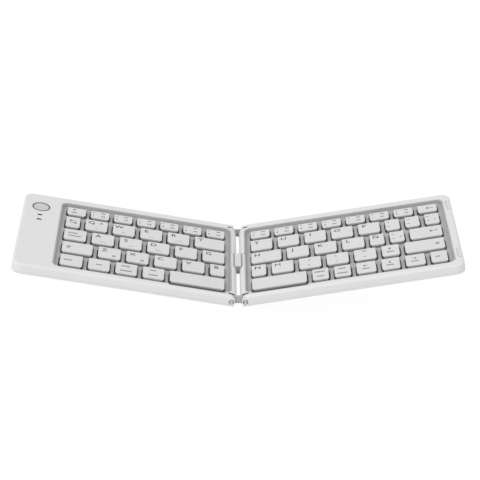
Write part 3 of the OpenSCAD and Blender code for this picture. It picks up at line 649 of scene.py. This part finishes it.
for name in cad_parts:
    middle_x = sum(corner[0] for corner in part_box(name)) / 2
    side = LEFT if middle_x < LINK_MM * MM / 2 else RIGHT
    if name.startswith("key_") or "_keys" in name or "space_bar" in name:
        dress(name, KEYS[side])
    elif "top_frame" in name or "bottom_cover" in name:
        dress(name, CASES[side])
    elif "hinge_pins" in name:
        dress(name, PINS[side])
    else:
        plain = name.replace("left_", "").replace("right_", "")
        dress(name, NODE_LOOKS[plain])
add_legends()


# Camera, light and ground

FLOOR_SHADOW = 0.08


def add_camera():
    """The camera that was fitted to the photograph, at 480 by 480 pixels."""
    azimuth, elevation, roll = -0.0134078, 0.486565, 0.00936859
    distance_mm = 1235.103
    focal_px = 1872.07
    target_mm = Vector((1.58943, 30.04718, 0))
    back = Vector((math.sin(azimuth) * math.cos(elevation),
                   -math.cos(azimuth) * math.cos(elevation), math.sin(elevation)))
    across = (-back).cross(Vector((0, 0, 1))).normalized()
    up = across.cross(-back)
    right = across * math.cos(roll) + up * math.sin(roll)
    top = up * math.cos(roll) - across * math.sin(roll)
    # From the frame of the folded pair, symmetric about its hinge, to the CAD frame
    tilt = turned_up(math.radians(9.982))
    move = shifted(3.88, -1.35, FOOT_MM + KEY_TOP_MM)
    place = move @ tilt @ (target_mm + back * distance_mm)
    turn = tilt.to_3x3()
    axes = [turn @ axis for axis in (right, top, back)]
    camera = bpy.data.objects.new("camera", bpy.data.cameras.new("camera"))
    camera.data.sensor_width = 36
    camera.data.lens = focal_px * 36 / 480
    camera.data.clip_start = 0.01
    camera.matrix_world = shifted(*(place * MM)) @ Matrix(axes).transposed().to_4x4()
    bpy.context.scene.collection.objects.link(camera)
    bpy.context.scene.camera = camera


def seen_directly(tree):
    """One for rays from the camera, in a reflection or through glass, and otherwise nothing."""
    path = tree.nodes.new("ShaderNodeLightPath")
    total = path.outputs["Is Camera Ray"]
    for ray in ("Is Glossy Ray", "Is Transmission Ray"):
        larger = tree.nodes.new("ShaderNodeMath")
        larger.operation = "MAXIMUM"
        tree.links.new(total, larger.inputs[0])
        tree.links.new(path.outputs[ray], larger.inputs[1])
        total = larger.outputs["Value"]
    return total


def add_world(around, above, brightest):
    """Soft light, strongest from one direction, with plain white behind the object."""
    world = bpy.data.worlds.new("surroundings")
    bpy.context.scene.world = world
    world.use_nodes = True
    tree = world.node_tree
    place = tree.nodes.new("ShaderNodeTexCoord")
    toward = tree.nodes.new("ShaderNodeVectorMath")
    toward.operation = "DOT_PRODUCT"
    toward.inputs[1].default_value = Vector(brightest).normalized()
    tree.links.new(place.outputs["Generated"], toward.inputs[0])
    level = tree.nodes.new("ShaderNodeMapRange")
    level.inputs["To Min"].default_value = around
    level.inputs["To Max"].default_value = above
    tree.links.new(toward.outputs["Value"], level.inputs["Value"])
    lit = tree.nodes["Background"]
    lit.inputs["Color"].default_value = (1, 1, 1, 1)
    tree.links.new(level.outputs["Result"], lit.inputs["Strength"])
    white = tree.nodes.new("ShaderNodeBackground")
    white.inputs["Color"].default_value = (1, 1, 1, 1)
    mix = tree.nodes.new("ShaderNodeMixShader")
    tree.links.new(seen_directly(tree), mix.inputs["Fac"])
    tree.links.new(lit.outputs["Background"], mix.inputs[1])
    tree.links.new(white.outputs["Background"], mix.inputs[2])
    tree.links.new(mix.outputs["Shader"], tree.nodes["World Output"].inputs["Surface"])


def add_floor(size):
    """A plain white floor that shows almost no shadow, as in the photograph."""
    mesh = bpy.data.meshes.new("floor")
    corners = [(x * size / 2, y * size / 2, -0.0001) for x, y in ((-1, -1), (1, -1), (1, 1), (-1, 1))]
    mesh.from_pydata(corners, [], [(0, 1, 2, 3)])
    floor = bpy.data.objects.new("floor", mesh)
    bpy.context.scene.collection.objects.link(floor)
    material = bpy.data.materials.new("floor")
    material.use_nodes = True
    tree = material.node_tree
    matt = tree.nodes["Principled BSDF"]
    matt.inputs["Base Color"].default_value = (0.85, 0.85, 0.85, 1)
    matt.inputs["Roughness"].default_value = 0.9
    white = tree.nodes.new("ShaderNodeEmission")
    faint = tree.nodes.new("ShaderNodeMath")
    faint.operation = "MULTIPLY"
    faint.inputs[1].default_value = 1 - FLOOR_SHADOW
    tree.links.new(seen_directly(tree), faint.inputs[0])
    mix = tree.nodes.new("ShaderNodeMixShader")
    tree.links.new(faint.outputs["Value"], mix.inputs["Fac"])
    tree.links.new(matt.outputs["BSDF"], mix.inputs[1])
    tree.links.new(white.outputs["Emission"], mix.inputs[2])
    white.inputs["Strength"].default_value = 1 + FLOOR_SHADOW / 2
    tree.links.new(mix.outputs["Shader"], tree.nodes["Material Output"].inputs["Surface"])
    mesh.materials.append(material)


def add_lamp(name, place, target, size, power):
    lamp = bpy.data.objects.new(name, bpy.data.lights.new(name, "AREA"))
    lamp.data.size = size
    lamp.data.energy = power
    lamp.location = place
    lamp.rotation_euler = (Vector(target) - Vector(place)).to_track_quat("-Z", "Y").to_euler()
    bpy.context.scene.collection.objects.link(lamp)


add_camera()
add_world(0.64, 0.92, (-0.25, -0.65, 0.7))
add_lamp("softbox", (-2.3, -1.9, 2.6), (0, 0, 0.01), 3, 40)
add_floor(3)
bpy.context.scene.view_settings.view_transform = "Standard"
